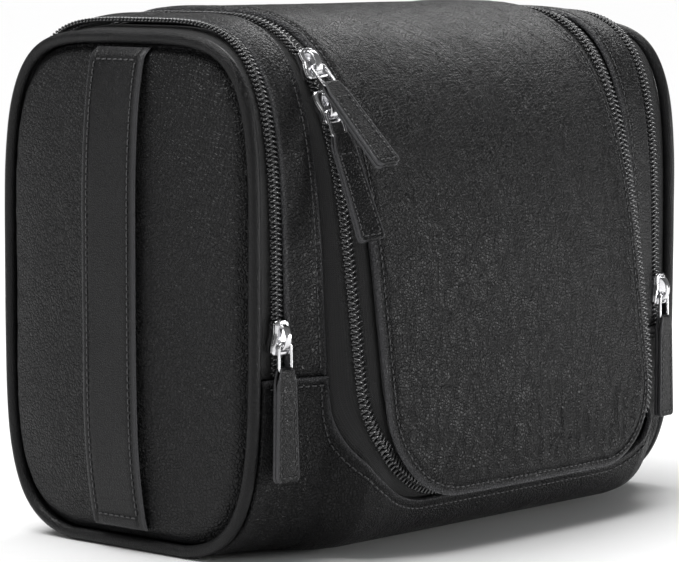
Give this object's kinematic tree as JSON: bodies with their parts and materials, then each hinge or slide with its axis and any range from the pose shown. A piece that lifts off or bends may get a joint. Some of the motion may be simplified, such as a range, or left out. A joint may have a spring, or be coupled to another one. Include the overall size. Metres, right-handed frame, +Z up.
{
  "type": "hanging toiletry bag",
  "caption": "Loaf-shaped black leather wash bag: zipped lid over the top and front, a zipped pocket flap at each end, grab strap on one end and a stowed hanging hook.",
  "frame": {"origin": "centre of the flat underside, on the surface that the bag stands on", "axes": "+X from the strap end to the plain end, -Y to the front, +Z up"},
  "size_m": [0.2443, 0.1546, 0.1875],
  "materials": {
    "leather": "fine pebble grain, satin",
    "zip_tape": "woven herringbone tape",
    "zip_coil": "moulded nylon coil",
    "lining": "plain woven lining",
    "metal": "polished nickel plate"
  },
  "bodies": {
    "bag": {"back_panel": "leather", "bottom_panel": "leather", "grab_strap_lower": "leather", "left_divider": "lining", "left_end_panel_lower": "leather", "left_lower_gusset": "leather", "left_piping_lower": "leather", "left_side_zip_coil_inner": "zip_coil", "left_side_zip_tape_inner": "zip_tape", "left_zip_strip": "leather", "main_lining": "lining", "main_zip_coil_bag": "zip_coil", "main_zip_tape_bag": "zip_tape", "right_divider": "lining", "right_end_panel_lower": "leather", "right_lower_gusset": "leather", "right_piping_lower": "leather", "right_side_zip_coil_inner": "zip_coil", "right_side_zip_tape_inner": "zip_tape", "right_zip_strip": "leather"},
    "lid_top": {"lid_top_panel": "leather", "lid_top_lining": "lining", "main_zip_coil_lid_left": "zip_coil", "main_zip_coil_lid_right": "zip_coil", "main_zip_tape_lid_left": "zip_tape", "main_zip_tape_lid_right": "zip_tape"},
    "lid_front": {"lid_front_panel": "leather", "lid_front_lining": "lining", "main_zip_coil_lid_front": "zip_coil", "main_zip_tape_lid_front": "zip_tape", "hook_tab": "leather"},
    "left_flap": {"left_end_panel_upper": "leather", "left_piping_upper": "leather", "left_side_zip_coil_outer": "zip_coil", "left_side_zip_tape_outer": "zip_tape", "grab_strap_upper": "leather"},
    "right_flap": {"right_end_panel_upper": "leather", "right_piping_upper": "leather", "right_side_zip_coil_outer": "zip_coil", "right_side_zip_tape_outer": "zip_tape"},
    "left_side_slider": {"left_side_slider": "metal"},
    "left_side_link": {"left_side_link": "metal"},
    "left_side_pull": {"left_side_pull": "leather"},
    "right_side_slider": {"right_side_slider": "metal"},
    "right_side_link": {"right_side_link": "metal"},
    "right_side_pull": {"right_side_pull": "leather"},
    "upper_main_slider": {"upper_main_slider": "metal"},
    "upper_main_link": {"upper_main_link": "metal"},
    "upper_main_pull": {"upper_main_pull": "leather"},
    "lower_main_slider": {"lower_main_slider": "metal"},
    "lower_main_link": {"lower_main_link": "metal"},
    "lower_main_pull": {"lower_main_pull": "leather"},
    "hook": {"hook_bail": "metal", "hook": "metal"}
  },
  "joints": [
    {"name": "lid_hinge", "type": "hinge", "parent": "bag", "child": "lid_top", "pos_m": [0, 0.05771, 0.1601], "axis": [-1, 0, 0], "range_deg": [0, 110]},
    {"name": "lid_fold", "type": "hinge", "parent": "lid_top", "child": "lid_front", "pos_m": [0, -0.03615, 0.18297], "axis": [-1, 0, 0], "range_deg": [0, 90]},
    {"name": "left_flap_fold", "type": "hinge", "parent": "bag", "child": "left_flap", "pos_m": [-0.125, 0, 0.064], "axis": [0, -1, 0], "range_deg": [0, 85]},
    {"name": "right_flap_fold", "type": "hinge", "parent": "bag", "child": "right_flap", "pos_m": [0.121, 0, 0.064], "axis": [0, 1, 0], "range_deg": [0, 85]},
    {"name": "left_slider_travel", "type": "slide", "parent": "bag", "child": "left_side_slider", "axis": [0, 0.0117, 0.9999], "range_m": [0, 0.055]},
    {"name": "right_slider_travel", "type": "slide", "parent": "bag", "child": "right_side_slider", "axis": [0, 0.0117, 0.9999], "range_m": [0, 0.055]},
    {"name": "upper_slider_travel", "type": "hinge", "parent": "lid_front", "child": "upper_main_slider", "pos_m": [0, -0.01784, 0.14323], "axis": [-1, 0, 0], "range_deg": [0, 20]},
    {"name": "lower_slider_travel", "type": "hinge", "parent": "lid_front", "child": "lower_main_slider", "pos_m": [0, 0.16443, 0.07335], "axis": [1, 0, 0], "range_deg": [0, 14]},
    {"name": "left_side_link_swing", "type": "hinge", "parent": "left_side_slider", "child": "left_side_link", "pos_m": [-0.10578, -0.06618, 0.07628], "axis": [-0.9945, 0.1043, -0.0012], "range_deg": [0, 120]},
    {"name": "left_side_pull_swing", "type": "hinge", "parent": "left_side_link", "child": "left_side_pull", "pos_m": [-0.10578, -0.06629, 0.06678], "axis": [-0.9945, 0.1043, -0.0012], "range_deg": [0, 50]},
    {"name": "right_side_link_swing", "type": "hinge", "parent": "right_side_slider", "child": "right_side_link", "pos_m": [0.10578, -0.06618, 0.07628], "axis": [-0.9945, -0.1043, 0.0012], "range_deg": [0, 120]},
    {"name": "right_side_pull_swing", "type": "hinge", "parent": "right_side_link", "child": "right_side_pull", "pos_m": [0.10578, -0.06629, 0.06678], "axis": [-0.9945, -0.1043, 0.0012], "range_deg": [0, 50]},
    {"name": "upper_main_link_swing", "type": "hinge", "parent": "upper_main_slider", "child": "upper_main_link", "pos_m": [-0.08011, -0.05717, 0.16853], "axis": [-0.9854, 0.1383, -0.0995], "range_deg": [0, 80]},
    {"name": "upper_main_pull_swing", "type": "hinge", "parent": "upper_main_link", "child": "upper_main_pull", "pos_m": [-0.08042, -0.06407, 0.162], "axis": [-0.9854, 0.1383, -0.0995], "range_deg": [0, 25]},
    {"name": "lower_main_link_swing", "type": "hinge", "parent": "lower_main_slider", "child": "lower_main_link", "pos_m": [-0.0806, -0.06472, 0.15357], "axis": [-0.9522, 0.2817, -0.118], "range_deg": [0, 80]},
    {"name": "lower_main_pull_swing", "type": "hinge", "parent": "lower_main_link", "child": "lower_main_pull", "pos_m": [-0.0806, -0.06839, 0.14481], "axis": [-0.9522, 0.2817, -0.118], "range_deg": [0, 25]},
    {"name": "hook_flip", "type": "hinge", "parent": "lid_front", "child": "hook", "pos_m": [0, -0.07382, 0.03189], "axis": [-1, 0, 0], "range_deg": [0, 180]}
  ],
  "couplings": [
    {"joint": "hook_flip", "follows": "lid_fold", "ratio": 2},
    {"joint": "lower_main_link_swing", "follows": "upper_main_link_swing", "ratio": 1},
    {"joint": "lower_main_pull_swing", "follows": "upper_main_pull_swing", "ratio": 1}
  ]
}
